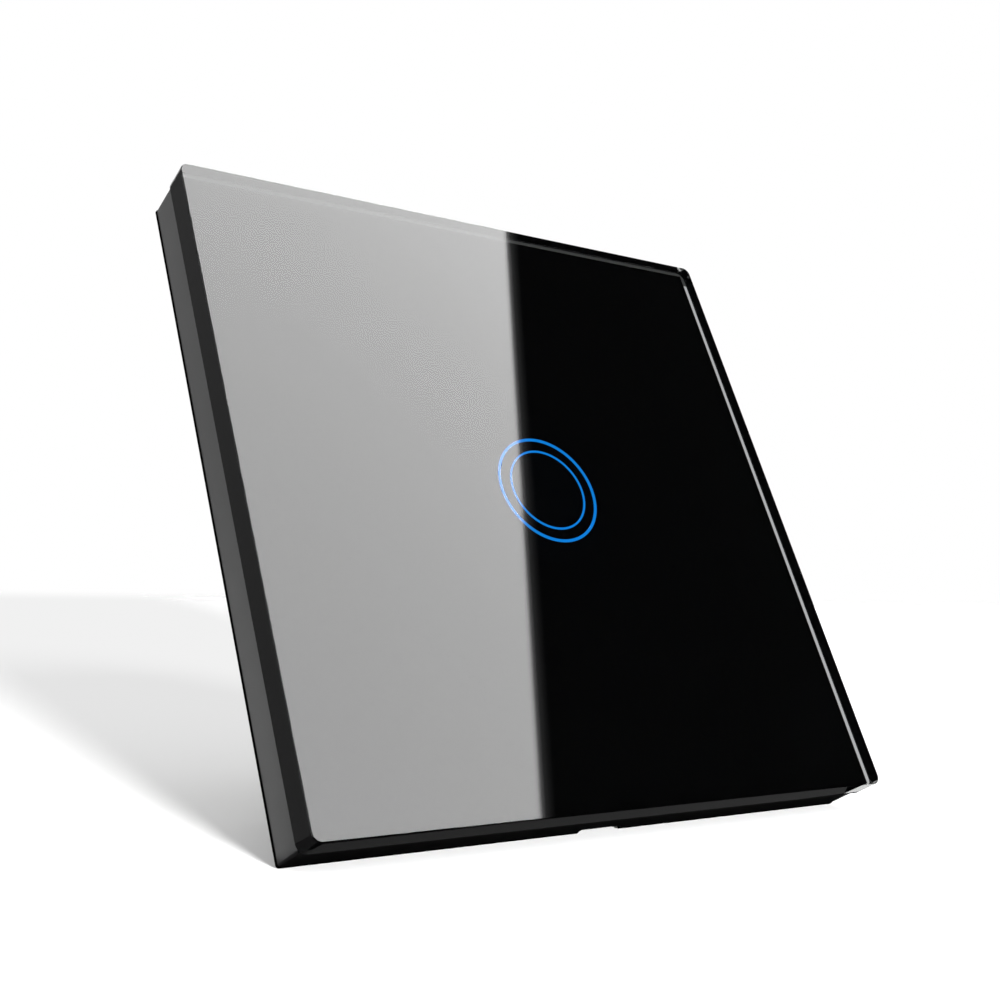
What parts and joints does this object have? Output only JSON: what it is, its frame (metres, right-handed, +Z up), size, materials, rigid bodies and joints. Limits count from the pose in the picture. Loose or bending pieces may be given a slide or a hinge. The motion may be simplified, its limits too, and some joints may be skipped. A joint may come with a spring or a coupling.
{
  "type": "touch light switch",
  "caption": "Square glass touch light switch with two blue rings, a pull-off front frame, a steel yoke and a rear housing with relay and screw terminals.",
  "frame": {"origin": "centre of the switch on the wall plane, halfway between the two fixing slots", "axes": "+X to the right as seen from the room, +Y into the wall, +Z up"},
  "size_m": [0.086, 0.0343, 0.086],
  "materials": {
    "panel_glass": "polished clear",
    "ring_blue": "lit blue enamel",
    "panel_ink": "black ink under glass",
    "window_ink": "smoked ink under glass",
    "tape": "black foam tape",
    "frame_plastic": "fine satin",
    "yoke_steel": "zinc plated",
    "base_plastic": "fine satin",
    "milky_plastic": "milky",
    "seal_rubber": "matte",
    "contact_foam": "conductive foam",
    "lamp_body": "lamp resin",
    "board_green": "solder resist",
    "screw_steel": "zinc plated",
    "board_blue": "solder resist",
    "shield_metal": "nickel plated",
    "chip_black": "moulded resin",
    "header_plastic": "moulded",
    "pin_brass": "gold plated",
    "can_aluminium": "sleeved can",
    "varistor_blue": "dipped resin",
    "fuse_brown": "moulded",
    "choke_ferrite": "sleeved ferrite",
    "core_ferrite": "ground ferrite",
    "winding_tape": "yellow tape",
    "relay_plastic": "moulded",
    "relay_base_plastic": "moulded",
    "pin_tin": "tinned",
    "relay_iron": "nickel plated",
    "bobbin_plastic": "moulded",
    "coil_copper": "enamelled copper",
    "contact_metal": "silvered",
    "leaf_bronze": "spring bronze",
    "terminal_plastic": "fine satin",
    "bar_brass": "tumbled",
    "clamp_steel": "zinc plated"
  },
  "bodies": {
    "switch_base": {"yoke_plate": "yoke_steel", "base_cover": "base_plastic", "light_guide": "milky_plastic", "light_seal": "seal_rubber", "touch_foam": "contact_foam", "ring_lights": "lamp_body", "touch_board": "board_green", "touch_board_screws": "screw_steel", "radio_board": "board_blue", "radio_shield": "shield_metal", "touch_chip": "chip_black", "header_socket": "header_plastic", "header_strip": "header_plastic", "header_pins": "pin_brass", "power_board": "board_green", "rectifier": "chip_black", "power_chip": "chip_black", "bulk_capacitors": "can_aluminium", "surge_varistor": "varistor_blue", "fuse": "fuse_brown", "filter_choke": "choke_ferrite", "transformer_core": "core_ferrite", "transformer_winding": "winding_tape", "relay_case": "relay_plastic", "relay_base": "relay_base_plastic", "relay_pins": "pin_tin", "relay_yoke": "relay_iron", "relay_core": "relay_iron", "relay_bobbin": "bobbin_plastic", "relay_coil": "coil_copper", "relay_fixed_contact": "contact_metal", "terminal_block": "terminal_plastic", "contact_bars": "bar_brass", "rear_housing": "base_plastic", "housing_screws": "screw_steel"},
    "front_panel": {"glass_panel": "panel_glass", "inner_touch_ring": "ring_blue", "outer_touch_ring": "ring_blue", "back_print": "panel_ink", "smoked_window": "window_ink", "panel_tape": "tape", "front_frame": "frame_plastic"},
    "relay_armature": {"relay_armature": "relay_iron", "relay_contact_leaf": "leaf_bronze", "relay_moving_contact": "contact_metal"},
    "terminal_screw_live": {"terminal_screw_live": "screw_steel"},
    "terminal_clamp_live": {"terminal_clamp_live": "clamp_steel"},
    "terminal_screw_neutral": {"terminal_screw_neutral": "screw_steel"},
    "terminal_clamp_neutral": {"terminal_clamp_neutral": "clamp_steel"},
    "terminal_screw_lamp": {"terminal_screw_lamp": "screw_steel"},
    "terminal_clamp_lamp": {"terminal_clamp_lamp": "clamp_steel"}
  },
  "joints": [
    {"name": "panel_pull", "type": "slide", "parent": "switch_base", "child": "front_panel", "axis": [0, -1, 0], "range_m": [0, 0.02]},
    {"name": "relay_switch", "type": "hinge", "parent": "switch_base", "child": "relay_armature", "pos_m": [0.0045, 0.0202, -0.0077], "axis": [0, 0, -1], "range_deg": [0, 4], "stiffness_Nm_per_rad": 0.0006, "springref_deg": -6.88},
    {"name": "terminal_screw_live_turn", "type": "hinge", "parent": "switch_base", "child": "terminal_screw_live", "pos_m": [-0.008, 0.022, -0.0198], "axis": [0, -1, 0], "range_deg": [0, 1800]},
    {"name": "terminal_clamp_live_rise", "type": "slide", "parent": "switch_base", "child": "terminal_clamp_live", "axis": [0, 1, 0], "range_m": [0, 0.0025]},
    {"name": "terminal_screw_neutral_turn", "type": "hinge", "parent": "switch_base", "child": "terminal_screw_neutral", "pos_m": [0, 0.022, -0.0198], "axis": [0, -1, 0], "range_deg": [0, 1800]},
    {"name": "terminal_clamp_neutral_rise", "type": "slide", "parent": "switch_base", "child": "terminal_clamp_neutral", "axis": [0, 1, 0], "range_m": [0, 0.0025]},
    {"name": "terminal_screw_lamp_turn", "type": "hinge", "parent": "switch_base", "child": "terminal_screw_lamp", "pos_m": [0.008, 0.022, -0.0198], "axis": [0, -1, 0], "range_deg": [0, 1800]},
    {"name": "terminal_clamp_lamp_rise", "type": "slide", "parent": "switch_base", "child": "terminal_clamp_lamp", "axis": [0, 1, 0], "range_m": [0, 0.0025]}
  ],
  "couplings": [
    {"joint": "terminal_screw_live_turn", "follows": "terminal_clamp_live_rise", "rad_per_m": 12566},
    {"joint": "terminal_screw_neutral_turn", "follows": "terminal_clamp_neutral_rise", "rad_per_m": 12566},
    {"joint": "terminal_screw_lamp_turn", "follows": "terminal_clamp_lamp_rise", "rad_per_m": 12566}
  ]
}
